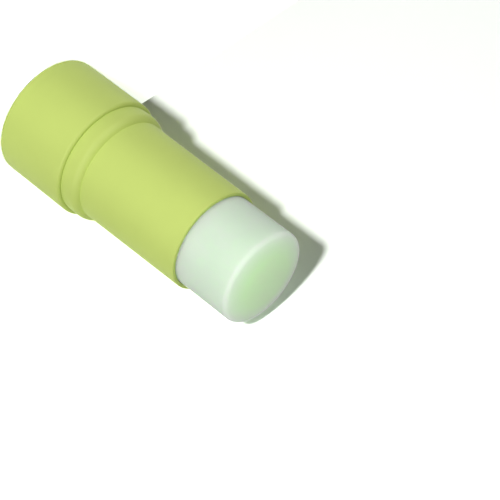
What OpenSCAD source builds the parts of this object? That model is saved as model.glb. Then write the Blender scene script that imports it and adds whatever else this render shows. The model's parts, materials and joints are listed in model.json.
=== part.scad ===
// Twist-up balm stick, opened and wound up for use.
// The stick stands on the underside of its base, with the balm's end on top.
// Lengths are in millimetres. The origin is the middle of the underside, and +Z runs up the stick.
// The pieces nest from the balm outwards: balm, barrel wall, collar, base.

/* [Balm] */
// Diameter of the balm
balm_d = 23.16; // [18:0.02:30]
// How far the crown of the balm stands out of the barrel's mouth, as wound up here
balm_out = 16.6; // [4:0.1:20]
// Height of the shallow dome on the balm's end
balm_dome = 1.4; // [0.3:0.05:2.4]
// Rounding of the balm's upper edge
balm_edge_round = 0.7; // [0.3:0.05:1.5]

/* [Barrel] */
// Wall of the barrel at its mouth
mouth_wall = 0.82; // [0.7:0.02:1.4]
// Moulding draft: what the barrel's radius gains from the mouth to the collar
barrel_draft = 0.25; // [0.1:0.05:0.5]
// Length of the barrel above its collar
barrel_l = 30.1; // [26:0.1:36]
// Rounding of the barrel's outer rim at the mouth
rim_round = 0.3; // [0.1:0.05:0.4]
// Height of the collar above the base
collar_h = 5.1; // [4.2:0.1:8]
// Radial step from the barrel out to the collar
collar_step = 1.28; // [0.9:0.02:1.6]
// Radius of the arc that closes the top of the collar
collar_round = 2.2; // [1.7:0.05:2.8]
// How far the collar overhangs the skirt below it
collar_lip = 0.65; // [0.45:0.05:0.9]
// Rounding of the collar's lower edge, at the seam
collar_foot_round = 0.15; // [0.05:0.05:0.3]
// Thickness of the keyed floor inside the barrel
barrel_floor_t = 1.5; // [1.2:0.1:2]
// Height of the snap bead above the lower end of the barrel's skirt
bead_rise = 6; // [5:0.1:7]
// Height of the friction ring above the lower end of the skirt
ring_rise = 2.2; // [1.6:0.1:3]

/* [Base] */
// Height of the base, from its underside to its shoulder
base_h = 20.3; // [18:0.1:26]
// Radial step from the collar out to the base
base_step = 0.95; // [0.85:0.05:1.5]
// Rounding of the base's shoulder
base_top_round = 0.8; // [0.4:0.05:0.8]
// Rounding of the base's lower edge
base_foot_round = 0.8; // [0.4:0.05:1.2]
// Thickness of the base's floor
base_floor_t = 1.8; // [1.4:0.1:2.4]
// Width of the flat ring that the base stands on
foot_ring_w = 2.7; // [2:0.1:4]
// Depth of the recess inside that ring
foot_recess = 0.4; // [0.2:0.05:0.6]

/* [Insert in the base] */
// Thickness of the insert's plate
insert_plate_t = 1.6; // [1.2:0.1:2.2]
// Wall of the insert's sleeve
sleeve_wall = 1.4; // [1.1:0.1:1.8]
// Height of the snap bead on the sleeve
bead_h = 0.25; // [0.15:0.05:0.35]
// Length of the snap bead along the axis
bead_l = 1.0; // [0.6:0.1:1.4]
// Width of the slots that let the sleeve flex
sleeve_slot_w = 1.6; // [1:0.1:2.4]
// Height of the sleeve above its snap bead
sleeve_lead = 2.8; // [2:0.1:4]
// Wall around the nut's six-sided foot
socket_wall = 1.2; // [0.9:0.1:1.6]

/* [Friction ring] */
// Thickness of the ring's round section
ring_t = 1.1; // [0.8:0.05:1.2]

/* [Screw and nut] */
// Diameter of the screw over its thread
screw_d = 6.2; // [5.6:0.1:7.5]
// Depth of the thread
thread_depth = 0.6; // [0.4:0.05:0.8]
// Travel of the screw for one turn, on two starts
screw_lead = 6; // [4:0.5:8]
// Distance across the two flats of the screw
screw_flats = 4.6; // [4.2:0.1:5]
// Thickness of the stop at the screw's lower end
screw_stop_t = 1.0; // [0.7:0.1:1.6]
// How far the stop stands out from the thread
stop_reach = 0.3; // [0.1:0.1:0.5]
// Length of thread inside the nut
nut_thread_l = 3; // [2:0.1:5]
// Wall of the nut's tower around its thread
nut_wall = 1.7; // [1.2:0.1:2.4]
// Thickness of the nut's six-sided foot
nut_foot_t = 1.6; // [1.2:0.1:2.4]
// How far that foot's corners stand out from the tower
nut_foot_reach = 2; // [1.5:0.1:3]

/* [Carrier] */
// Thickness of the carrier's plate
carrier_t = 1.2; // [0.9:0.1:1.8]
// Depth of the cup that holds the balm's root
cup_h = 2.5; // [1.8:0.1:4]
// Wall of that cup
cup_wall = 0.85; // [0.6:0.05:1.2]
// Height of the boss over the screw's square end
boss_h = 4; // [3:0.1:6]
// Wall of that boss
boss_wall = 1.4; // [1:0.1:2]
// Side of the screw's square end
spigot_w = 3; // [2.4:0.1:3.4]
// Length of the square end above the carrier's plate
spigot_l = 2.8; // [2:0.1:2.9]
// Thickness of the ribs that key the balm to the cup
rib_t = 0.8; // [0.6:0.1:1.2]
// Number of those ribs
rib_n = 4; // [3:1:6]
// How far the ribs stay below the cup's rim
rib_drop = 0.5; // [0.3:0.1:0.8]
// How far the ribs run into the boss, the plate and the cup's wall
rib_bite = 0.3; // [0.2:0.1:0.5]

/* [Clearances] */
// Gap between the collar and the base's shoulder
seam_gap = 0.15; // [0.1:0.05:0.3]
// Gap between the balm and the barrel's bore
balm_gap = 0.12; // [0.08:0.02:0.3]
// Gap between the carrier and the barrel's bore
carrier_gap = 0.25; // [0.15:0.05:0.4]
// Gap between the insert's sleeve and the barrel's bore
turn_gap = 0.08; // [0.04:0.01:0.1]
// Gap between the barrel's skirt and the base
skirt_gap = 0.2; // [0.1:0.05:0.3]
// Gap below the skirt, down to the insert's plate
skirt_end_gap = 2.6; // [2.2:0.1:3.2]
// Gap between the friction ring and the base
ring_gap = 0.05; // [0.02:0.01:0.1]
// Gap around the snap bead in its groove
bead_gap = 0.12; // [0.08:0.02:0.2]
// Gap between the screw's thread and the nut's
thread_gap = 0.2; // [0.15:0.01:0.3]
// Gap between the screw and the keyed hole in the barrel's floor
key_gap = 0.15; // [0.1:0.01:0.25]
// Gap around pieces that are pressed or cast together
seat_gap = 0.03; // [0.01:0.01:0.06]
// Gap left at the ends of the travel
end_gap = 0.3; // [0.2:0.05:0.5]
// How far the balm's crown sinks below the mouth when wound down
sink = 0.9; // [0.5:0.1:2]
// How far the cup's rim stays below the mouth when wound up
rim_gap = 0.2; // [0.1:0.05:0.6]

/* [Hidden] */
$fn = 96;

// Past a face that a cut has to clear
past = 1;

// Radii, from the balm outwards
balm_r = balm_d / 2;
bore_r = balm_r + balm_gap;
mouth_r = bore_r + mouth_wall;
root_r = mouth_r + barrel_draft;
collar_r = root_r + collar_step;
base_r = collar_r + base_step;
skirt_r = collar_r - collar_lip;
cavity_r = skirt_r + skirt_gap;
recess_r = base_r - base_foot_round - foot_ring_w;

// Heights of the outside
seam_z = base_h + seam_gap;
collar_top_z = base_h + collar_h;
mouth_z = collar_top_z + barrel_l;
crown_z = mouth_z + balm_out;

// The collar's top arc meets the barrel at this height above the arc's centre
collar_arc_rise = sqrt(pow(collar_round, 2) - pow(root_r - collar_r + collar_round, 2));
collar_arc_z = collar_top_z - collar_arc_rise;

// The travel takes its height twice, for the balm above the barrel's floor and for the screw below it
stack_t = carrier_t + barrel_floor_t + nut_thread_l + screw_stop_t + 4 * end_gap;
balm_l = (mouth_z - base_floor_t - stack_t + cup_h + rim_gap - 2 * sink) / 2;
travel_up = balm_l - balm_out - cup_h - rim_gap;
travel_down = balm_out + sink;

// Heights of the lift, as wound up here
plate_top_z = crown_z - balm_l;
plate_z = plate_top_z - carrier_t;
floor_top_z = plate_z - travel_down - end_gap;
floor_z = floor_top_z - barrel_floor_t;
nut_top_z = floor_z - end_gap;
nut_thread_z = nut_top_z - nut_thread_l;
stop_top_z = nut_thread_z - end_gap - travel_up;
stop_z = stop_top_z - screw_stop_t;

// Screw, nut and carrier
screw_r = screw_d / 2;
core_r = screw_r - thread_depth;
stop_r = screw_r + stop_reach;
nut_bore_r = stop_r + thread_gap;
nut_r = screw_r + thread_gap + nut_wall;
nut_foot_r = nut_r + nut_foot_reach;
carrier_r = bore_r - carrier_gap;
cup_r = carrier_r - cup_wall;
boss_r = spigot_w * sqrt(2) / 2 + boss_wall;

// Insert, skirt, snap bead and friction ring
insert_z = base_floor_t;
insert_top_z = insert_z + insert_plate_t;
sleeve_r = bore_r - turn_gap;
skirt_z = insert_top_z + skirt_end_gap;
ring_z = skirt_z + ring_rise;
ring_r = cavity_r - ring_gap - ring_t / 2;
bead_z = skirt_z + bead_rise;
sleeve_top_z = bead_z + bead_l + sleeve_lead;
sleeve_slots = 4;

// The thread is a rounded two-lobed section, turned as it rises
thread_points = 16;
thread_slices_per_turn = 16;

// The dome is a small part of a large circle, so that circle takes many facets
dome_facets = 720;

// A piece turned about the stick's axis, from the half section given as child
module turned(colour) {
    color(colour)
        rotate_extrude()
            children();
}

// Half section of a plain ring or disc
module band(r0, r1, z0, z1) {
    translate([r0, z0])
        square([r1 - r0, z1 - z0]);
}

// Half section of a disc whose upper and lower rims are rounded
module rounded_disc(r, z0, z1, round_low, round_high) {
    band(0, r, z0 + round_low, z1 - round_high);
    band(0, r - round_low, z0, z1 - round_high);
    band(0, r - round_high, z0 + round_low, z1);
    translate([r - round_low, z0 + round_low])
        circle(r = round_low);
    translate([r - round_high, z1 - round_high])
        circle(r = round_high);
}

// Outline of the screw's thread, grown by a clearance
module thread_section(grow) {
    mean_r = (screw_r + core_r) / 2 + grow;
    wave = thread_depth / 2;
    polygon([
        for (i = [0 : thread_points - 1])
            let (a = i * 360 / thread_points, r = mean_r + wave * cos(2 * a))
                [r * cos(a), r * sin(a)]
    ]);
}

// Right-hand thread between two heights; its phase depends on the height alone
module thread_rod(z0, z1, grow) {
    turn = 360 * (z1 - z0) / screw_lead;
    translate([0, 0, z0])
        rotate([0, 0, 360 * z0 / screw_lead])
            linear_extrude(
                height = z1 - z0,
                twist = -turn,
                slices = ceil(turn * thread_slices_per_turn / 360),
                $fn = thread_points
            )
                thread_section(grow);
}

// Upright block centred on the axis
module block(x, y, z0, z1) {
    translate([-x / 2, -y / 2, z0])
        cube([x, y, z1 - z0]);
}

// Ribs from the boss to the cup's wall, drawn thicker for the slots in the balm
module ribs(extra) {
    for (i = [0 : rib_n - 1])
        rotate([0, 0, i * 360 / rib_n])
            translate([boss_r - rib_bite, -rib_t / 2 - extra, plate_top_z - rib_bite])
                cube([cup_r - boss_r + 2 * rib_bite, rib_t + 2 * extra, rib_bite + cup_h - rib_drop + extra]);
}

// Outer shell of the base: the knob that is held and turned
module base_shell() {
    color("YellowGreen")
        difference() {
            rotate_extrude()
                rounded_disc(base_r, 0, base_h, base_foot_round, base_top_round);
            translate([0, 0, base_floor_t])
                cylinder(r = cavity_r, h = base_h);
            translate([0, 0, -past])
                cylinder(r = recess_r, h = foot_recess + past);
        }
}

// Insert pressed into the base: plate, sleeve with snap bead, and socket for the nut
module base_insert() {
    color("White")
        difference() {
            rotate_extrude() {
                band(nut_bore_r, cavity_r - seat_gap, insert_z, insert_top_z);
                band(nut_bore_r, nut_foot_r + seat_gap + socket_wall, insert_z, insert_top_z + nut_foot_t);
                band(sleeve_r - sleeve_wall, sleeve_r, insert_z, sleeve_top_z);
                band(sleeve_r - sleeve_wall, sleeve_r + bead_h, bead_z, bead_z + bead_l);
            }
            translate([0, 0, insert_top_z])
                rotate([0, 0, 30])
                    cylinder(r = nut_foot_r + seat_gap, h = nut_foot_t + past, $fn = 6);
            for (i = [0 : sleeve_slots - 1])
                rotate([0, 0, i * 360 / sleeve_slots])
                    translate([sleeve_r - sleeve_wall - past, -sleeve_slot_w / 2, skirt_z])
                        cube([sleeve_wall + bead_h + 2 * past, sleeve_slot_w, sleeve_top_z]);
        }
}

// Nut on a tower, keyed in the insert by its six-sided foot
module drive_nut() {
    color("Gainsboro")
        difference() {
            union() {
                translate([0, 0, insert_top_z])
                    cylinder(r = nut_r, h = nut_top_z - insert_top_z);
                translate([0, 0, insert_top_z])
                    rotate([0, 0, 30])
                        cylinder(r = nut_foot_r, h = nut_foot_t, $fn = 6);
            }
            translate([0, 0, insert_top_z - past])
                cylinder(r = nut_bore_r, h = nut_thread_z - insert_top_z + past);
            thread_rod(nut_thread_z - past, nut_top_z + past, thread_gap);
        }
}

// Barrel with its collar, skirt and keyed floor, moulded in one
module barrel() {
    color("YellowGreen")
        difference() {
            rotate_extrude()
                difference() {
                    union() {
                        band(0, skirt_r, skirt_z, collar_arc_z);
                        collar_outline();
                        barrel_outline();
                    }
                    ring_groove();
                }
            translate([0, 0, floor_top_z])
                cylinder(r = bore_r, h = mouth_z);
            translate([0, 0, skirt_z - past])
                cylinder(r = bore_r, h = floor_z - skirt_z + past);
            translate([0, 0, bead_z - bead_gap])
                cylinder(r = bore_r + bead_h + bead_gap, h = bead_l + 2 * bead_gap);
            intersection() {
                translate([0, 0, floor_z - past])
                    cylinder(r = screw_r + key_gap, h = barrel_floor_t + 2 * past);
                block(screw_d + 2 * past, screw_flats + 2 * key_gap, floor_z - past, floor_top_z + past);
            }
        }
}

// Half section of the collar: a small rounding at the seam, and the arc that closes its top
module collar_outline() {
    foot_x = collar_r - collar_foot_round;
    band(0, foot_x, seam_z, collar_arc_z);
    band(foot_x, collar_r, seam_z + collar_foot_round, collar_arc_z);
    translate([foot_x, seam_z + collar_foot_round])
        circle(r = collar_foot_round);
    translate([collar_r - collar_round, collar_arc_z])
        circle(r = collar_round);
}

// Half section of the barrel's drafted wall above the seam, with its rounded rim
module barrel_outline() {
    polygon([
        [0, seam_z],
        [root_r, seam_z],
        [root_r, collar_top_z],
        [mouth_r, mouth_z - rim_round],
        [mouth_r - rim_round, mouth_z],
        [0, mouth_z]
    ]);
    translate([mouth_r - rim_round, mouth_z - rim_round])
        circle(r = rim_round);
}

// Half section of the groove that the friction ring sits in
module ring_groove() {
    band(ring_r - ring_t / 2 - seat_gap, skirt_r + past, ring_z - ring_t / 2 - seat_gap, ring_z + ring_t / 2 + seat_gap);
}

// Soft ring on the skirt that makes the turning smooth
module friction_ring() {
    turned("DimGray")
        translate([ring_r, ring_z])
            circle(d = ring_t);
}

// Screw with two flats: it slides in the keyed floor and is driven by the nut
module lift_screw() {
    color("Gainsboro") {
        intersection() {
            thread_rod(stop_z, plate_z, 0);
            block(screw_d + 2 * past, screw_flats, stop_z, plate_z);
        }
        translate([0, 0, stop_z])
            cylinder(r = stop_r, h = screw_stop_t);
        block(spigot_w, spigot_w, plate_z - past, plate_top_z + spigot_l);
    }
}

// Carrier: a plate with a shallow cup, a boss over the screw's square end, and ribs
module carrier() {
    color("WhiteSmoke")
        difference() {
            union() {
                rotate_extrude()
                    polygon([
                        [0, plate_z],
                        [carrier_r, plate_z],
                        [carrier_r, plate_top_z + cup_h],
                        [cup_r, plate_top_z + cup_h],
                        [cup_r, plate_top_z],
                        [boss_r, plate_top_z],
                        [boss_r, plate_top_z + boss_h],
                        [0, plate_top_z + boss_h]
                    ]);
                ribs(0);
            }
            block(spigot_w + 2 * seat_gap, spigot_w + 2 * seat_gap, plate_z - past, plate_top_z + spigot_l + seat_gap);
        }
}

// Half section of the balm above its root, with a shallow dome that runs into the rounded edge
module balm_outline() {
    dome_r = (pow(balm_r, 2) + pow(balm_dome, 2)) / (2 * balm_dome);
    dome_z = crown_z - dome_r;
    edge_x = balm_r - balm_edge_round;
    edge_z = dome_z + sqrt(pow(dome_r - balm_edge_round, 2) - pow(edge_x, 2));
    band(0, balm_r, plate_top_z + cup_h + seat_gap, edge_z);
    translate([edge_x, edge_z])
        circle(r = balm_edge_round);
    intersection() {
        translate([0, dome_z])
            circle(r = dome_r, $fn = dome_facets);
        band(0, edge_x * dome_r / (dome_r - balm_edge_round), edge_z, crown_z);
    }
}

// The balm, cast on the carrier
module balm() {
    color("Honeydew")
        difference() {
            rotate_extrude() {
                band(0, cup_r - seat_gap, plate_top_z + seat_gap, plate_top_z + cup_h + past);
                balm_outline();
            }
            translate([0, 0, plate_z])
                cylinder(r = boss_r + seat_gap, h = carrier_t + boss_h + seat_gap);
            ribs(seat_gap);
        }
}

base_shell();
base_insert();
drive_nut();
barrel();
friction_ring();
lift_screw();
carrier();
balm();
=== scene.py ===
"""Twist-up balm stick: its outer pieces, its finishes and a plain studio around the frame."""

import json
import math

import bpy
from bpy.props import FloatProperty, FloatVectorProperty, IntProperty, PointerProperty
from mathutils import Matrix, Vector

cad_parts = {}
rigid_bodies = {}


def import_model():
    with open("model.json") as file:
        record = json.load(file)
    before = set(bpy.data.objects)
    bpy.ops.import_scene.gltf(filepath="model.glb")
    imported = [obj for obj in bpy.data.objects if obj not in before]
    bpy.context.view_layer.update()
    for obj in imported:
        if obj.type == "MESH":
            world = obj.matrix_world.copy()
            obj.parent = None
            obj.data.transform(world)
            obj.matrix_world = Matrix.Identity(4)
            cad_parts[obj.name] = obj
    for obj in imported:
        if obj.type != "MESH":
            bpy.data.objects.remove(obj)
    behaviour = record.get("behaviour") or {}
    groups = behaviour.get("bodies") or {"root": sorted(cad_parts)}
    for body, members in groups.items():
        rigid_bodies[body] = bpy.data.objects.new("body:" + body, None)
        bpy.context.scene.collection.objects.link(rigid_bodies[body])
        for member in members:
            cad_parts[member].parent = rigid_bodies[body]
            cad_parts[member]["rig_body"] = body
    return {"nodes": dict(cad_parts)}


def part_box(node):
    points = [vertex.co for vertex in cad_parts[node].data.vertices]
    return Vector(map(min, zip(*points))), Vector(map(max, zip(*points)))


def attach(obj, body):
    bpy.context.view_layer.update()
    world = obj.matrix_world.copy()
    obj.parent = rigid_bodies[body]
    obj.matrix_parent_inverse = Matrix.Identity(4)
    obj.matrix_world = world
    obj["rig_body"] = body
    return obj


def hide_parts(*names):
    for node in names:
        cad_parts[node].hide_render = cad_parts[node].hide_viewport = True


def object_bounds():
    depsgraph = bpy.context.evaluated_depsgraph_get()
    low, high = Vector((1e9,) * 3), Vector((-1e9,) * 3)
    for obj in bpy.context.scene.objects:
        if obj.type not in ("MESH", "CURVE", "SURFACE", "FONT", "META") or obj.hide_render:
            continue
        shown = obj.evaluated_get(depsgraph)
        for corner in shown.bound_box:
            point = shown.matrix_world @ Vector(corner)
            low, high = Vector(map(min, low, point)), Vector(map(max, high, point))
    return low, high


bl_info = {
    "name": "Twist-up balm stick",
    "version": (1, 0, 0),
    "blender": (4, 5, 0),
    "location": "View3D > Sidebar > Balm Stick",
    "description": "Builds the stick's shells and balm, finishes every piece and lights the studio",
    "category": "Add Mesh",
}

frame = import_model()
cad_low, cad_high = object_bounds()

MM = 0.001
TURN = 2 * math.pi
UP = Vector((0, 0, 1))
# Points closer than this are merged
MERGE = 2e-6
# A point this close to a place or a radius is taken to lie on it
NEAR = 2e-5
# How far a cutter reaches past the face that it cuts
CUT_PAST = 1 * MM
# Faces that meet at less than this angle are shaded as one surface
SMOOTH_ANGLE = math.radians(32)
# Points on the rounded stretches of the outlines, and rows of faces down the balm's side
COLLAR_POINTS = 14
DOME_POINTS = 40
EDGE_POINTS = 16
SIDE_ROWS = 48
# Size of the clouds in the ground's colour, and how much darker than the rest they are
GROUND_CLOUD_SIZE = 125 * MM
GROUND_CLOUD_DEPTH = 0.005
# Distance of every lamp from the stick's middle, in metres
LAMP_DISTANCE = 1.4
# Azimuth and elevation of each lamp in degrees, and its width. Azimuth 0 is the side in view.
LAMPS = {
    "key": (6.9, 13.4, 120 * MM),
    "left": (-50, 14, 900 * MM),
    "right": (60, 15, 900 * MM),
    "top": (0, 78, 900 * MM),
    "back": (184, -6, 900 * MM),
}

base_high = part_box("base_shell")[1]
barrel_low, barrel_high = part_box("barrel")
balm_low, balm_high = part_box("balm")


def length(name, description, default):
    """A size in metres, as a property that the panel can show."""
    return FloatProperty(
        name=name, description=description, default=default, min=0, unit="LENGTH", precision=5
    )


def position(name, description, default):
    """A place in metres, as a property that the panel can show."""
    return FloatVectorProperty(
        name=name, description=description, default=default, size=3, unit="LENGTH", precision=5
    )


def angle(name, description, degrees):
    """An angle given in degrees, as a property that the panel can show."""
    return FloatProperty(
        name=name, description=description, default=math.radians(degrees), unit="ROTATION"
    )


def colour(name, description, default):
    """A linear colour, as a property that the panel can show."""
    return FloatVectorProperty(
        name=name, description=description, default=default, size=3, min=0, max=1, subtype="COLOR"
    )


def power(name, description, default):
    """The power of a lamp, as a property that the panel can show."""
    return FloatProperty(name=name, description=description, default=default, min=0, unit="POWER")


def share(name, description, default):
    """A value from 0 to 1, as a property that the panel can show."""
    return FloatProperty(
        name=name, description=description, default=default, min=0, max=1, subtype="FACTOR"
    )


def gain(name, description, default):
    """A gain for red, green and blue, as a property that the panel can show."""
    return FloatVectorProperty(
        name=name, description=description, default=default, size=3, min=0
    )


# Sizes and finishes that a user would change


class BaseSizes(bpy.types.PropertyGroup):
    """Sizes of the base's shell"""

    radius: length("Radius", "Outer radius of the base", base_high.x)
    height: length("Height", "Height of the shoulder above the underside", base_high.z)
    shoulder_round: length("Shoulder rounding", "Rounding of the base's shoulder", 0.8 * MM)
    foot_round: length("Foot rounding", "Rounding of the base's lower edge", 0.8 * MM)
    cavity_radius: length("Cavity radius", "Radius of the space for the barrel's skirt", 13.6 * MM)
    floor: length("Floor", "Thickness of the base's floor", 1.8 * MM)
    recess_radius: length("Recess radius", "Radius of the recess in the underside", 11.5 * MM)
    recess_depth: length("Recess depth", "Depth of the recess in the underside", 0.4 * MM)
    gate_radius: length("Gate radius", "Radius of the moulding gate's mark in the recess", 1.1 * MM)
    gate_depth: length("Gate depth", "Depth of the moulding gate's mark", 0.15 * MM)
    cavity_break: length("Cavity edge", "Rounding of the shoulder's inner edge", 0.12 * MM)
    recess_break: length("Recess edge", "Rounding of the recess's edge", 0.15 * MM)


class BarrelSizes(bpy.types.PropertyGroup):
    """Sizes of the barrel, from its skirt to its mouth"""

    mouth: length("Mouth height", "Height of the barrel's mouth", barrel_high.z)
    mouth_radius: length("Mouth radius", "Outer radius at the mouth", 12.52 * MM)
    root_radius: length("Root radius", "Outer radius where the barrel meets the collar", 12.77 * MM)
    bore_radius: length("Bore radius", "Radius of the bore that the balm slides in", 11.7 * MM)
    rim_round: length("Rim rounding", "Rounding of the outer rim at the mouth", 0.3 * MM)
    rim_break: length("Rim break", "Small rounding of the inner rim at the mouth", 0.06 * MM)
    collar_radius: length("Collar radius", "Outer radius of the collar", barrel_high.x)
    collar_top: length("Collar top", "Height at which the collar meets the barrel", 25.4 * MM)
    collar_round: length("Collar arc", "Radius of the arc that closes the collar", 2.2 * MM)
    collar_foot: length("Collar foot", "Height of the collar's lower edge", 20.33 * MM)
    collar_foot_round: length("Foot rounding", "Rounding of the collar's lower edge", 0.06 * MM)
    floor_top: length("Floor top", "Height of the floor's upper face", 29.75 * MM)
    floor_under: length("Floor underside", "Height of the floor's underside", 28.25 * MM)
    key_radius: length("Key radius", "Radius of the keyed hole in the floor", 3.25 * MM)
    key_half_width: length("Key half width", "Half the hole's width across its flats", 2.45 * MM)
    skirt_radius: length("Skirt radius", "Outer radius of the skirt inside the base", 13.4 * MM)
    skirt_end: length("Skirt end", "Height of the skirt's lower end", barrel_low.z)
    groove_radius: length("Groove radius", "Radius of the friction ring's groove", 12.42 * MM)
    groove_low: length("Groove low", "Lower side of the friction ring's groove", 7.62 * MM)
    groove_high: length("Groove high", "Upper side of the friction ring's groove", 8.78 * MM)
    snap_radius: length("Snap radius", "Radius of the snap bead's groove", 12.07 * MM)
    snap_low: length("Snap low", "Lower side of the snap groove", 11.88 * MM)
    snap_high: length("Snap high", "Upper side of the snap groove", 13.12 * MM)


class BalmSizes(bpy.types.PropertyGroup):
    """Sizes of the balm and of its root in the carrier"""

    radius: length("Radius", "Radius of the balm", balm_high.x)
    crown: length("Crown", "Height of the balm's end", balm_high.z)
    dome: length("Dome", "Height of the shallow dome on the end", 1.4 * MM)
    edge_round: length("Edge rounding", "Rounding of the balm's upper edge", 1.2 * MM)
    root: length("Root", "Height of the root's underside", balm_low.z)
    root_radius: length("Root radius", "Radius of the root, inside the carrier's cup", 10.57 * MM)
    seat: length("Seat", "Height of the step that rests on the cup's rim", 51.28 * MM)
    boss_radius: length("Boss hole", "Radius of the hollow around the carrier's boss", 3.55 * MM)
    boss_top: length("Boss hole top", "Height of the top of that hollow", 52.78 * MM)
    rib_width: length("Rib slot width", "Width of the slots around the carrier's ribs", 0.86 * MM)
    rib_top: length("Rib slot top", "Height of the top of those slots", 50.78 * MM)


class PlasticLook(bpy.types.PropertyGroup):
    """Finish of the soft-touch lime plastic"""

    tint: colour("Colour", "Colour of the plastic", (0.590, 0.715, 0.176))
    roughness: share("Roughness", "Roughness of the soft-touch surface", 0.56)
    grain_size: length("Grain size", "Size of the moulded grain", 0.16 * MM)
    grain_depth: length("Grain depth", "Depth of the moulded grain", 0.004 * MM)


class BalmLook(bpy.types.PropertyGroup):
    """Finish of the balm"""

    # Painted light and shade: the side and the end's outer ring take the paler side colour, the
    # end's middle the greener end colour
    side_tint: colour("Side colour", "Colour of the side, with its bloom", (0.700, 0.835, 0.675))
    end_tint: colour("End colour", "Colour of the balm on its domed end", (0.665, 0.945, 0.545))
    painted_light_from: length("Painted light from", "Radius on the end from which the bloom sets in", 6.5 * MM)
    roughness: share("Roughness", "Roughness of the waxy surface", 0.6)
    depth: length("Light depth", "How far light travels inside the balm", 6 * MM)


class StudioSizes(bpy.types.PropertyGroup):
    """Camera, lamps and ground of the studio"""

    camera_place: position("Camera", "Place of the camera", (0, -356.93 * MM, 254.655 * MM))
    camera_aim: position("Aim", "Place that the camera looks at", (-3.282 * MM, 0, 63.825 * MM))
    camera_roll: angle("Roll", "Roll of the camera, which lays the stick down", 127.189)
    lens: FloatProperty(
        name="Lens", description="Focal length of the camera", default=133.908, unit="CAMERA"
    )
    key_power: power("Key", "Power of the small lamp in front", 7.4)
    left_power: power("Left fill", "Power of the broad lamp on the left", 9.4)
    right_power: power("Right fill", "Power of the broad lamp on the right", 18.4)
    top_power: power("Top fill", "Power of the broad lamp over the balm's end", 7.4)
    back_power: power("Back fill", "Power of the broad lamp behind the stick", 3.6)
    even_fill: share("Even fill", "Strength of the light from all round", 0.005)
    wall_shade: share("Backdrop shade", "How much light the backdrop gives back", 0.4)
    wall_gain: gain("Backdrop gain", "Makes the lit backdrop white to the camera", (8.1, 8.5, 8.0))
    floor_shade: share("Floor shade", "How much light the floor gives back", 0.15)
    floor_gain: gain("Floor gain", "Makes the lit floor white to the camera", (17.0, 18.0, 16.5))
    ground_size: length("Ground size", "Width of the floor and of the backdrop", 2.4)
    wall_gap: length("Backdrop gap", "Distance of the backdrop from the stick's axis", 15.3 * MM)
    wall_turn: angle("Backdrop turn", "Azimuth that the backdrop faces", -31.337)
    turn_steps: IntProperty(
        name="Turn steps", description="Faces round each turned piece", default=192, min=48
    )


SETTINGS = {
    "stick_base": BaseSizes,
    "stick_barrel": BarrelSizes,
    "stick_balm": BalmSizes,
    "stick_plastic": PlasticLook,
    "stick_balm_look": BalmLook,
    "stick_studio": StudioSizes,
}


def settings(name):
    """The scene's values for one of the property groups above."""
    return getattr(bpy.context.scene, name)


# Modelling helpers


def deselect_all():
    """Leaves object mode with nothing selected."""
    if bpy.context.object and bpy.context.object.mode != "OBJECT":
        bpy.ops.object.mode_set(mode="OBJECT")
    bpy.ops.object.select_all(action="DESELECT")


def pick_points(piece, test):
    """Selects the points of a piece whose place passes a test, and goes into edit mode."""
    bpy.ops.object.mode_set(mode="EDIT")
    bpy.ops.mesh.select_mode(type="VERT")
    bpy.ops.mesh.select_all(action="DESELECT")
    bpy.ops.object.mode_set(mode="OBJECT")
    for point in piece.data.vertices:
        point.select = test(point.co)
    bpy.ops.object.mode_set(mode="EDIT")


def draw_outline(name, places):
    """Draws a half section in the XZ plane, point after point, from (radius, height) pairs."""
    deselect_all()
    corner = 0.5 * MM
    radius, height = places[0]
    bpy.ops.mesh.primitive_plane_add(size=2 * corner, location=(radius + corner, corner, height))
    piece = bpy.context.object
    piece.name = name
    piece.data.name = name
    bpy.ops.object.transform_apply(location=True, rotation=False, scale=False)
    pick_points(piece, lambda place: (place - Vector((radius, 0, height))).length > NEAR)
    bpy.ops.mesh.delete(type="VERT")
    bpy.ops.mesh.select_all(action="SELECT")
    for (r0, z0), (r1, z1) in zip(places, places[1:]):
        bpy.ops.mesh.extrude_vertices_move(TRANSFORM_OT_translate={"value": (r1 - r0, 0, z1 - z0)})
    bpy.ops.object.mode_set(mode="OBJECT")
    return piece


def round_corner(piece, place, radius, segments):
    """Rounds one corner of a half section."""
    corner = Vector((place[0], 0, place[1]))
    pick_points(piece, lambda point: (point - corner).length < NEAR)
    bpy.ops.mesh.bevel(
        offset=radius, offset_type="OFFSET", segments=segments, affect="VERTICES", profile=0.5
    )
    bpy.ops.object.mode_set(mode="OBJECT")


def turn_outline(piece):
    """Spins a half section once round the stick's axis and closes its seam and poles."""
    bpy.ops.object.mode_set(mode="EDIT")
    bpy.ops.mesh.select_all(action="SELECT")
    bpy.ops.mesh.remove_doubles(threshold=MERGE)
    steps = settings("stick_studio").turn_steps
    bpy.ops.mesh.spin(steps=steps, angle=TURN, center=(0, 0, 0), axis=(0, 0, 1))
    bpy.ops.mesh.select_all(action="SELECT")
    bpy.ops.mesh.remove_doubles(threshold=MERGE)
    bpy.ops.mesh.normals_make_consistent(inside=False)
    bpy.ops.object.mode_set(mode="OBJECT")


def smooth_faces(piece):
    """Smooth shading, broken at the sharp edges only."""
    deselect_all()
    piece.select_set(True)
    bpy.context.view_layer.objects.active = piece
    bpy.ops.object.shade_smooth_by_angle(angle=SMOOTH_ANGLE)


def arc(centre, radius, start, end, count):
    """Places along an arc of a half section, between two angles in degrees above the horizontal."""
    turns = [math.radians(start + (end - start) * i / (count - 1)) for i in range(count)]
    return [(centre[0] + radius * math.cos(t), centre[1] + radius * math.sin(t)) for t in turns]


def hand_over(piece, node, material):
    """Lets a finished piece stand for its CAD node: same body, its own material, and the node
    hidden.
    """
    piece.data.materials.clear()
    piece.data.materials.append(material)
    body = frame["nodes"][node]["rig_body"]
    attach(piece, body)
    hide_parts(node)


# Node groups that several materials share


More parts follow.
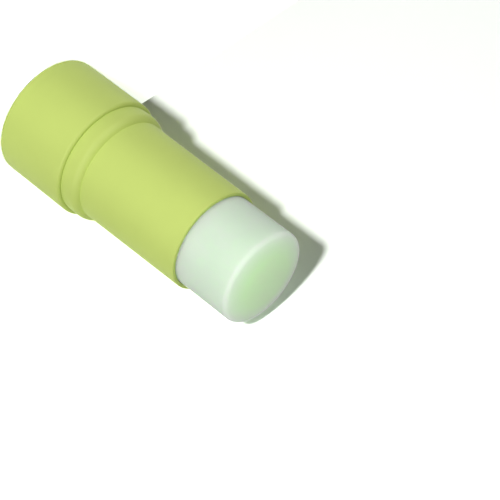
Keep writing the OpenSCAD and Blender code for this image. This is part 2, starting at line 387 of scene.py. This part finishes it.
def new_group(name, inputs, outputs):
    """An empty shader node group with named sockets, and its input and output nodes."""
    group = bpy.data.node_groups.new(name, "ShaderNodeTree")
    for label, kind, default in inputs:
        socket = group.interface.new_socket(name=label, in_out="INPUT", socket_type=kind)
        if default is not None:
            socket.default_value = default
    for label, kind in outputs:
        group.interface.new_socket(name=label, in_out="OUTPUT", socket_type=kind)
    return group, group.nodes.new("NodeGroupInput"), group.nodes.new("NodeGroupOutput")


def feed(tree, value, socket):
    """Links another socket to a socket, or sets the number or colour on it."""
    if isinstance(value, bpy.types.NodeSocket):
        tree.links.new(value, socket)
    else:
        socket.default_value = value


def add_noise(tree, vector, scale, detail, roughness):
    """A noise texture on two sockets, with its detail and roughness as numbers."""
    noise = tree.nodes.new("ShaderNodeTexNoise")
    noise.inputs["Detail"].default_value = detail
    noise.inputs["Roughness"].default_value = roughness
    tree.links.new(scale, noise.inputs["Scale"])
    tree.links.new(vector, noise.inputs["Vector"])
    return noise.outputs["Fac"]


def add_math(tree, operation, *values):
    """A math node on sockets or numbers."""
    node = tree.nodes.new("ShaderNodeMath")
    node.operation = operation
    for value, socket in zip(values, node.inputs):
        feed(tree, value, socket)
    return node.outputs["Value"]


def add_range(tree, value, low, high, to_low, to_high):
    """A map range node, clamped."""
    node = tree.nodes.new("ShaderNodeMapRange")
    tree.links.new(value, node.inputs["Value"])
    node.inputs["From Min"].default_value = low
    node.inputs["From Max"].default_value = high
    node.inputs["To Min"].default_value = to_low
    node.inputs["To Max"].default_value = to_high
    return node.outputs["Result"]


def add_mix(tree, factor, first, second):
    """A colour mix node on sockets or colours."""
    node = tree.nodes.new("ShaderNodeMix")
    node.data_type = "RGBA"
    sockets = {s.identifier: s for s in node.inputs}
    feed(tree, factor, sockets["Factor_Float"])
    feed(tree, first, sockets["A_Color"])
    feed(tree, second, sockets["B_Color"])
    return {s.identifier: s for s in node.outputs}["Result_Color"]


def grain_group():
    """Fine moulded or cast grain: a height for a Bump node and a small shift of the roughness."""
    group, given, result = new_group(
        "fine_grain",
        [
            ("Vector", "NodeSocketVector", None),
            ("Scale", "NodeSocketFloat", 6000.0),
            ("Roughness", "NodeSocketFloat", 0.5),
            ("Spread", "NodeSocketFloat", 0.05),
        ],
        [("Height", "NodeSocketFloat"), ("Roughness", "NodeSocketFloat")],
    )
    vector, scale = given.outputs["Vector"], given.outputs["Scale"]
    coarse_scale, coarse_height, middle = 0.11, 0.35, 0.5
    fine = add_noise(group, vector, scale, detail=2.0, roughness=0.6)
    wider = add_math(group, "MULTIPLY", scale, coarse_scale)
    coarse = add_noise(group, vector, wider, detail=3.0, roughness=0.5)
    height = add_math(group, "MULTIPLY_ADD", coarse, coarse_height, fine)
    swing = add_math(group, "SUBTRACT", coarse, middle)
    shift = add_math(group, "MULTIPLY", swing, given.outputs["Spread"])
    rough = add_math(group, "MULTIPLY_ADD", shift, 1 / middle, given.outputs["Roughness"])
    group.links.new(height, result.inputs["Height"])
    group.links.new(rough, result.inputs["Roughness"])
    return group


def cloud_group():
    """Slow, faint clouds of a lighter and a darker shade in one colour."""
    group, given, result = new_group(
        "faint_clouds",
        [
            ("Vector", "NodeSocketVector", None),
            ("Scale", "NodeSocketFloat", 120.0),
            ("Dark", "NodeSocketColor", (0.5, 0.5, 0.5, 1)),
            ("Light", "NodeSocketColor", (0.6, 0.6, 0.6, 1)),
        ],
        [("Color", "NodeSocketColor")],
    )
    vector, scale = given.outputs["Vector"], given.outputs["Scale"]
    darkest, lightest = 0.32, 0.68
    clouds = add_noise(group, vector, scale, detail=4.0, roughness=0.55)
    mask = add_range(group, clouds, darkest, lightest, 0.0, 1.0)
    mixed = add_mix(group, mask, given.outputs["Dark"], given.outputs["Light"])
    group.links.new(mixed, result.inputs["Color"])
    return group


def place_group(tree, name, builder, values):
    """Places a shared group in a material, built once, and feeds its inputs. Gives its outputs."""
    node = tree.nodes.new("ShaderNodeGroup")
    node.node_tree = bpy.data.node_groups.get(name) or builder()
    for label, value in values.items():
        feed(tree, value, node.inputs[label])
    return node.outputs


def add_clouds(tree, place, size, dark, light):
    """Faint clouds between two colours, as wide as the given size. Gives their colour."""
    values = {"Vector": place, "Scale": 1 / size, "Dark": dark, "Light": light}
    return place_group(tree, "faint_clouds", cloud_group, values)["Color"]


# Materials


def shade(tint, factor):
    """A colour made lighter or darker, as red, green, blue and alpha."""
    return (*(min(1.0, part * factor) for part in tint), 1.0)


def new_material(name):
    """A new material, its tree, its Principled shader and the object's coordinates."""
    material = bpy.data.materials.new(name)
    material.use_nodes = True
    tree = material.node_tree
    shader = tree.nodes["Principled BSDF"]
    place = tree.nodes.new("ShaderNodeTexCoord").outputs["Object"]
    return material, tree, shader, place


def add_bump(tree, shader, height, distance):
    """Feeds a height to the shader's normal, with the relief's depth in metres."""
    bump = tree.nodes.new("ShaderNodeBump")
    bump.inputs["Strength"].default_value = 1.0
    bump.inputs["Distance"].default_value = distance
    tree.links.new(height, bump.inputs["Height"])
    tree.links.new(bump.outputs["Normal"], shader.inputs["Normal"])


def grained_material(
    name, tint, roughness, spread, grain_size, grain_depth, cloud_depth, cloud_size
):
    """A moulded material: faint clouds in its colour, and a fine grain in roughness and relief."""
    material, tree, shader, place = new_material(name)
    dark, light = shade(tint, 1 - cloud_depth), shade(tint, 1 + cloud_depth)
    tree.links.new(add_clouds(tree, place, cloud_size, dark, light), shader.inputs["Base Color"])
    values = {"Vector": place, "Scale": 1 / grain_size, "Roughness": roughness, "Spread": spread}
    grain = place_group(tree, "fine_grain", grain_group, values)
    tree.links.new(grain["Roughness"], shader.inputs["Roughness"])
    add_bump(tree, shader, grain["Height"], grain_depth)
    return material, tree, shader, place


def lime_plastic(name):
    """Soft-touch lime plastic: matt, with a velvety edge and a very fine grain."""
    look = settings("stick_plastic")
    material, _, shader, _ = grained_material(
        name,
        look.tint,
        look.roughness,
        spread=0.05,
        grain_size=look.grain_size,
        grain_depth=look.grain_depth,
        cloud_depth=0.012,
        cloud_size=9 * MM,
    )
    shader.inputs["Specular IOR Level"].default_value = 0.32
    shader.inputs["Sheen Weight"].default_value = 0.12
    shader.inputs["Sheen Roughness"].default_value = 0.35
    shader.inputs["Sheen Tint"].default_value = (0.95, 1.0, 0.8, 1)
    return material


def balm_wax(name):
    """Pale mint wax that light passes into, with painted light and shade: paler side and rim,
    greener end.
    """
    look = settings("stick_balm_look")
    size = settings("stick_balm")
    material, tree, shader, place = grained_material(
        name,
        look.side_tint,
        look.roughness,
        spread=0.08,
        grain_size=0.5 * MM,
        grain_depth=0.006 * MM,
        cloud_depth=0.01,
        cloud_size=6 * MM,
    )
    parts = tree.nodes.new("ShaderNodeSeparateXYZ")
    tree.links.new(place, parts.inputs["Vector"])
    squares = [add_math(tree, "POWER", parts.outputs[way], 2.0) for way in ("X", "Y")]
    across = add_math(tree, "SQRT", add_math(tree, "ADD", *squares))
    # Painted light and shade: the mask is 1 on the side and the end's outer ring, which get the
    # paler side colour, and 0 on the end's middle, painted greener
    rim_z = size.crown - size.dome
    side_z = rim_z - size.edge_round / 2
    on_side = add_range(tree, parts.outputs["Z"], side_z, rim_z, 1.0, 0.0)
    at_edge = add_range(tree, across, look.painted_light_from, size.radius, 0.0, 1.0)
    painted_light = add_math(tree, "MAXIMUM", on_side, at_edge)
    side_colour = shader.inputs["Base Color"].links[0].from_socket
    wax_with_painted_light = add_mix(tree, painted_light, shade(look.end_tint, 1.0), side_colour)
    tree.links.new(wax_with_painted_light, shader.inputs["Base Color"])
    shader.inputs["Subsurface Weight"].default_value = 1.0
    shader.inputs["Subsurface Radius"].default_value = (0.75, 1.0, 0.7)
    shader.inputs["Subsurface Scale"].default_value = look.depth
    shader.inputs["Specular IOR Level"].default_value = 0.12
    return material


# The studio


def look_along(axis):
    """Upright rotation of a camera, lamp or wall, with its own Z axis along a direction."""
    right = UP.cross(axis).normalized()
    return Matrix((right, axis.cross(right).normalized(), axis.normalized())).transposed()


def ground_material(name, ground_shade, camera_gain, one_sided):
    """Pale ground. A gain lifts its colour for the camera, so its lit parts look white."""
    material, tree, shader, place = new_material(name)
    tree.nodes.remove(shader)
    light = shade((ground_shade,) * 3, 1.0)
    dark = shade((ground_shade,) * 3, 1 - GROUND_CLOUD_DEPTH)
    ground_colour = add_clouds(tree, place, GROUND_CLOUD_SIZE, dark, light)
    rays = tree.nodes.new("ShaderNodeLightPath").outputs
    seen = add_math(tree, "MAXIMUM", rays["Is Camera Ray"], rays["Is Glossy Ray"])
    seen = add_math(tree, "MAXIMUM", seen, rays["Is Transmission Ray"])
    lift = add_mix(tree, seen, (1, 1, 1, 1), (*camera_gain, 1))
    lifted = tree.nodes.new("ShaderNodeVectorMath")
    lifted.operation = "MULTIPLY"
    tree.links.new(ground_colour, lifted.inputs[0])
    tree.links.new(lift, lifted.inputs[1])
    matt = tree.nodes.new("ShaderNodeBsdfDiffuse")
    tree.links.new(lifted.outputs["Vector"], matt.inputs["Color"])
    surface = matt.outputs["BSDF"]
    if one_sided:
        behind = tree.nodes.new("ShaderNodeNewGeometry").outputs["Backfacing"]
        clear = tree.nodes.new("ShaderNodeBsdfTransparent").outputs["BSDF"]
        side = tree.nodes.new("ShaderNodeMixShader")
        tree.links.new(behind, side.inputs["Fac"])
        tree.links.new(surface, side.inputs[1])
        tree.links.new(clear, side.inputs[2])
        surface = side.outputs["Shader"]
    tree.links.new(surface, tree.nodes["Material Output"].inputs["Surface"])
    return material


def toward(azimuth, elevation):
    """The direction at an azimuth and an elevation in radians. Azimuth 0 is the side in view."""
    flat = math.cos(elevation)
    return Vector((math.sin(azimuth) * flat, -math.cos(azimuth) * flat, math.sin(elevation)))


def link_pieces(name, pieces, state):
    """A collection for light linking, which takes its pieces in or leaves them out."""
    linked = bpy.data.collections.new(name)
    for piece in pieces:
        linked.objects.link(piece)
    for entry in linked.collection_objects:
        entry.light_linking.link_state = state
    return linked


class STICK_OT_studio(bpy.types.Operator):
    """Adds the camera at the photograph's angle, the floor, the backdrop and the lamps"""

    bl_idname = "stick.studio"
    bl_label = "Studio"

    def execute(self, context):
        studio = settings("stick_studio")
        self.add_camera(context, studio)
        floor, backdrop = self.add_ground(studio)
        self.add_lamps(studio, floor, backdrop)
        self.light_world(context, studio)
        context.scene.view_settings.view_transform = "Standard"
        return {"FINISHED"}

    def add_camera(self, context, studio):
        """The stick stands, so the camera is rolled until it lies as in the photograph."""
        place = Vector(studio.camera_place)
        upright = look_along(place - Vector(studio.camera_aim))
        turned = upright @ Matrix.Rotation(studio.camera_roll, 3, "Z")
        deselect_all()
        bpy.ops.object.camera_add(location=place)
        camera = context.object
        camera.name = "camera"
        camera.matrix_world = Matrix.Translation(place) @ turned.to_4x4()
        camera.data.sensor_width = 36.0
        camera.data.lens = studio.lens
        camera.data.clip_start = 0.01
        camera.data.clip_end = 20.0
        context.scene.camera = camera

    def add_ground(self, studio):
        """A floor under the base, and a backdrop close behind the stick, clear from its back."""
        deselect_all()
        bpy.ops.mesh.primitive_plane_add(size=studio.ground_size, location=(0, 0, 0))
        floor = bpy.context.object
        floor.name = "floor"
        pale_floor = ground_material("pale_floor", studio.floor_shade, studio.floor_gain, False)
        floor.data.materials.append(pale_floor)
        deselect_all()
        bpy.ops.mesh.primitive_plane_add(size=studio.ground_size)
        wall = bpy.context.object
        wall.name = "backdrop"
        normal = toward(studio.wall_turn, 0)
        middle = Vector((0, 0, studio.ground_size / 2)) - normal * studio.wall_gap
        wall.matrix_world = Matrix.Translation(middle) @ look_along(normal).to_4x4()
        pale_wall = ground_material("pale_backdrop", studio.wall_shade, studio.wall_gain, True)
        wall.data.materials.append(pale_wall)
        return floor, wall

    def add_lamps(self, studio, floor, backdrop):
        """A small lamp and four broad ones, which are kept off what they would bleach."""
        lamps = {name: self.add_lamp(studio, name) for name in LAMPS}
        spared = link_pieces("backdrop_without_fill", [backdrop], "EXCLUDE")
        lamps["left"].light_linking.receiver_collection = spared
        lamps["right"].light_linking.receiver_collection = spared
        balm = bpy.data.objects["balm_skin"]
        from_above = link_pieces("lit_from_above", [floor, balm], "INCLUDE")
        lamps["top"].light_linking.receiver_collection = from_above
        pierced = link_pieces("ground_that_lets_light_through", [floor, backdrop], "EXCLUDE")
        lamps["back"].light_linking.receiver_collection = pierced
        lamps["back"].light_linking.blocker_collection = pierced

    def add_lamp(self, studio, name):
        """A round lamp at the lamps' distance from the stick's middle, turned to it."""
        azimuth, elevation, width = LAMPS[name]
        back = toward(math.radians(azimuth), math.radians(elevation))
        place = Vector((0, 0, (cad_low.z + cad_high.z) / 2)) + back * LAMP_DISTANCE
        deselect_all()
        bpy.ops.object.light_add(type="AREA", location=place)
        lamp = bpy.context.object
        lamp.name = f"{name}_lamp"
        lamp.matrix_world = Matrix.Translation(place) @ look_along(back).to_4x4()
        lamp.data.shape = "DISK"
        lamp.data.size = width
        lamp.data.energy = getattr(studio, f"{name}_power")
        return lamp

    def light_world(self, context, studio):
        """Even light from all round; the camera sees it as white."""
        world = bpy.data.worlds.new("studio")
        world.use_nodes = True
        tree = world.node_tree
        rays = tree.nodes.new("ShaderNodeLightPath")
        strength = add_range(tree, rays.outputs["Is Camera Ray"], 0.0, 1.0, studio.even_fill, 1.0)
        tree.nodes["Background"].inputs["Color"].default_value = (1, 1, 1, 1)
        tree.links.new(strength, tree.nodes["Background"].inputs["Strength"])
        context.scene.world = world


# The pieces


class STICK_OT_base_shell(bpy.types.Operator):
    """Turns the base's shell, with its foot ring, rounded edges and the gate's mark underneath"""

    bl_idname = "stick.base_shell"
    bl_label = "Base shell"

    def execute(self, context):
        size = settings("stick_base")
        top = size.height
        places = [
            (0, size.recess_depth + size.gate_depth),
            (size.gate_radius, size.recess_depth + size.gate_depth),
            (size.gate_radius, size.recess_depth),
            (size.recess_radius, size.recess_depth),
            (size.recess_radius, 0),
            (size.radius, 0),
            (size.radius, top),
            (size.cavity_radius, top),
            (size.cavity_radius, size.floor),
            (0, size.floor),
        ]
        shell = draw_outline("base_shell_skin", places)
        round_corner(shell, (size.radius, 0), size.foot_round, segments=10)
        round_corner(shell, (size.radius, top), size.shoulder_round, segments=10)
        round_corner(shell, (size.cavity_radius, top), size.cavity_break, segments=4)
        round_corner(shell, (size.recess_radius, 0), size.recess_break, segments=4)
        turn_outline(shell)
        smooth_faces(shell)
        hand_over(shell, "base_shell", lime_plastic("soft_lime_base"))
        return {"FINISHED"}


class STICK_OT_barrel(bpy.types.Operator):
    """Turns the barrel with its collar, skirt and keyed floor"""

    bl_idname = "stick.barrel"
    bl_label = "Barrel"

    def execute(self, context):
        size = settings("stick_barrel")
        arc_centre_r = size.collar_radius - size.collar_round
        rise = math.sqrt(size.collar_round**2 - (size.root_radius - arc_centre_r) ** 2)
        arc_centre = (arc_centre_r, size.collar_top - rise)
        arc_end = math.degrees(math.asin(rise / size.collar_round))
        outer = [
            (size.skirt_radius, size.skirt_end),
            (size.skirt_radius, size.groove_low),
            (size.groove_radius, size.groove_low),
            (size.groove_radius, size.groove_high),
            (size.skirt_radius, size.groove_high),
            (size.skirt_radius, size.collar_foot),
            (size.collar_radius, size.collar_foot),
            *arc(arc_centre, size.collar_round, 0, arc_end, COLLAR_POINTS),
            (size.mouth_radius, size.mouth),
        ]
        inner = [
            (size.bore_radius, size.mouth),
            (size.bore_radius, size.floor_top),
            (size.key_radius, size.floor_top),
            (size.key_radius, size.floor_under),
            (size.bore_radius, size.floor_under),
            (size.bore_radius, size.snap_high),
            (size.snap_radius, size.snap_high),
            (size.snap_radius, size.snap_low),
            (size.bore_radius, size.snap_low),
            (size.bore_radius, size.skirt_end),
        ]
        barrel = draw_outline("barrel_skin", [*outer, *inner, outer[0]])
        round_corner(barrel, (size.mouth_radius, size.mouth), size.rim_round, segments=6)
        round_corner(barrel, (size.bore_radius, size.mouth), size.rim_break, segments=3)
        collar_corner = (size.collar_radius, size.collar_foot)
        round_corner(barrel, collar_corner, size.collar_foot_round, segments=5)
        turn_outline(barrel)
        self.cut_key_flats(barrel, size)
        smooth_faces(barrel)
        hand_over(barrel, "barrel", lime_plastic("soft_lime_barrel"))
        return {"FINISHED"}

    def cut_key_flats(self, barrel, size):
        """Flattens two sides of the floor's hole, so that the screw's flats are keyed in it."""
        reach, half_width = size.key_radius + NEAR, size.key_half_width
        for side in (-1, 1):
            pick_points(
                barrel, lambda place: place.xy.length < reach and side * place.y > half_width
            )
            middle = (0, side * half_width, size.floor_top)
            bpy.ops.transform.resize(value=(1, 0, 1), center_override=middle)
            bpy.ops.object.mode_set(mode="OBJECT")


class STICK_OT_balm(bpy.types.Operator):
    """Turns the balm with its shallow dome and soft edge, and hollows its root for the carrier"""

    bl_idname = "stick.balm"
    bl_label = "Balm"

    def execute(self, context):
        size = settings("stick_balm")
        dome_r = (size.radius**2 + size.dome**2) / (2 * size.dome)
        dome_z = size.crown - dome_r
        edge_r = size.radius - size.edge_round
        edge_rise = math.sqrt((dome_r - size.edge_round) ** 2 - edge_r**2)
        edge_z = dome_z + edge_rise
        edge_angle = math.degrees(math.atan2(edge_rise, edge_r))
        row = (size.seat - edge_z) / SIDE_ROWS
        places = [
            *arc((0, dome_z), dome_r, 90, edge_angle, DOME_POINTS),
            *arc((edge_r, edge_z), size.edge_round, edge_angle, 0, EDGE_POINTS)[1:],
            *((size.radius, edge_z + row * i) for i in range(1, SIDE_ROWS + 1)),
            (size.root_radius, size.seat),
            (size.root_radius, size.root),
            (size.boss_radius, size.root),
            (size.boss_radius, size.boss_top),
            (0, size.boss_top),
        ]
        balm = draw_outline("balm_skin", places)
        turn_outline(balm)
        self.slot_root(balm, size)
        smooth_faces(balm)
        hand_over(balm, "balm", balm_wax("mint_wax"))
        return {"FINISHED"}

    def slot_root(self, balm, size):
        """Cuts the crossed slots that the carrier's ribs fill."""
        long, wide = 2 * (size.root_radius + CUT_PAST), size.rib_width
        height = size.rib_top - size.root + CUT_PAST
        cutters = []
        for dimensions in ((long, wide, height), (wide, long, height)):
            deselect_all()
            bpy.ops.mesh.primitive_cube_add(size=1)
            cutter = bpy.context.object
            cutter.dimensions = dimensions
            cutter.location = (0, 0, size.rib_top - height / 2)
            bpy.ops.object.transform_apply(location=True, rotation=False, scale=True)
            cutters.append(cutter)
        for cutter in cutters:
            deselect_all()
            balm.select_set(True)
            bpy.context.view_layer.objects.active = balm
            cut = balm.modifiers.new("rib slot", "BOOLEAN")
            cut.operation = "DIFFERENCE"
            cut.solver = "EXACT"
            cut.object = cutter
            bpy.ops.object.modifier_apply(modifier=cut.name)
            bpy.data.objects.remove(cutter)


class STICK_OT_inner_pieces(bpy.types.Operator):
    """Gives the hidden pieces that the CAD model carries their plastic and rubber finishes"""

    bl_idname = "stick.inner_pieces"
    bl_label = "Inner pieces"

    def execute(self, context):
        # Colour, roughness, and the size and depth of the grain
        finishes = {
            "base_insert": ((0.80, 0.81, 0.77), 0.45, 0.25 * MM, 0.005 * MM),
            "drive_nut": ((0.83, 0.83, 0.80), 0.34, 0.35 * MM, 0.003 * MM),
            "lift_screw": ((0.85, 0.85, 0.82), 0.3, 0.35 * MM, 0.003 * MM),
            "carrier": ((0.84, 0.85, 0.81), 0.38, 0.3 * MM, 0.004 * MM),
            "friction_ring": ((0.045, 0.045, 0.05), 0.7, 0.12 * MM, 0.006 * MM),
        }
        for node, (tint, roughness, grain_size, grain_depth) in finishes.items():
            material, *_ = grained_material(
                node,
                tint,
                roughness,
                spread=0.06,
                grain_size=grain_size,
                grain_depth=grain_depth,
                cloud_depth=0.03,
                cloud_size=5 * MM,
            )
            piece = frame["nodes"][node]
            piece.data.materials.clear()
            piece.data.materials.append(material)
        return {"FINISHED"}


class STICK_PT_panel(bpy.types.Panel):
    """Lists the steps that build the stick and its sizes"""

    bl_idname = "STICK_PT_panel"
    bl_label = "Balm Stick"
    bl_space_type = "VIEW_3D"
    bl_region_type = "UI"
    bl_category = "Balm Stick"

    def draw(self, context):
        for step in STEPS:
            self.layout.operator(step.bl_idname)
        for name, group in SETTINGS.items():
            box = self.layout.box()
            box.label(text=group.bl_rna.name)
            for key in group.__annotations__:
                box.prop(getattr(context.scene, name), key)


STEPS = (
    STICK_OT_base_shell,
    STICK_OT_barrel,
    STICK_OT_balm,
    STICK_OT_inner_pieces,
    STICK_OT_studio,
)


def register():
    for group in SETTINGS.values():
        bpy.utils.register_class(group)
    for name, group in SETTINGS.items():
        setattr(bpy.types.Scene, name, PointerProperty(type=group))
    for entry in (*STEPS, STICK_PT_panel):
        bpy.utils.register_class(entry)


def unregister():
    for entry in reversed((*STEPS, STICK_PT_panel)):
        bpy.utils.unregister_class(entry)
    for name in SETTINGS:
        delattr(bpy.types.Scene, name)
    for group in reversed(SETTINGS.values()):
        bpy.utils.unregister_class(group)


def main():
    register()
    bpy.ops.stick.base_shell()
    bpy.ops.stick.barrel()
    bpy.ops.stick.balm()
    bpy.ops.stick.inner_pieces()
    bpy.ops.stick.studio()


if __name__ == "__main__":
    main()
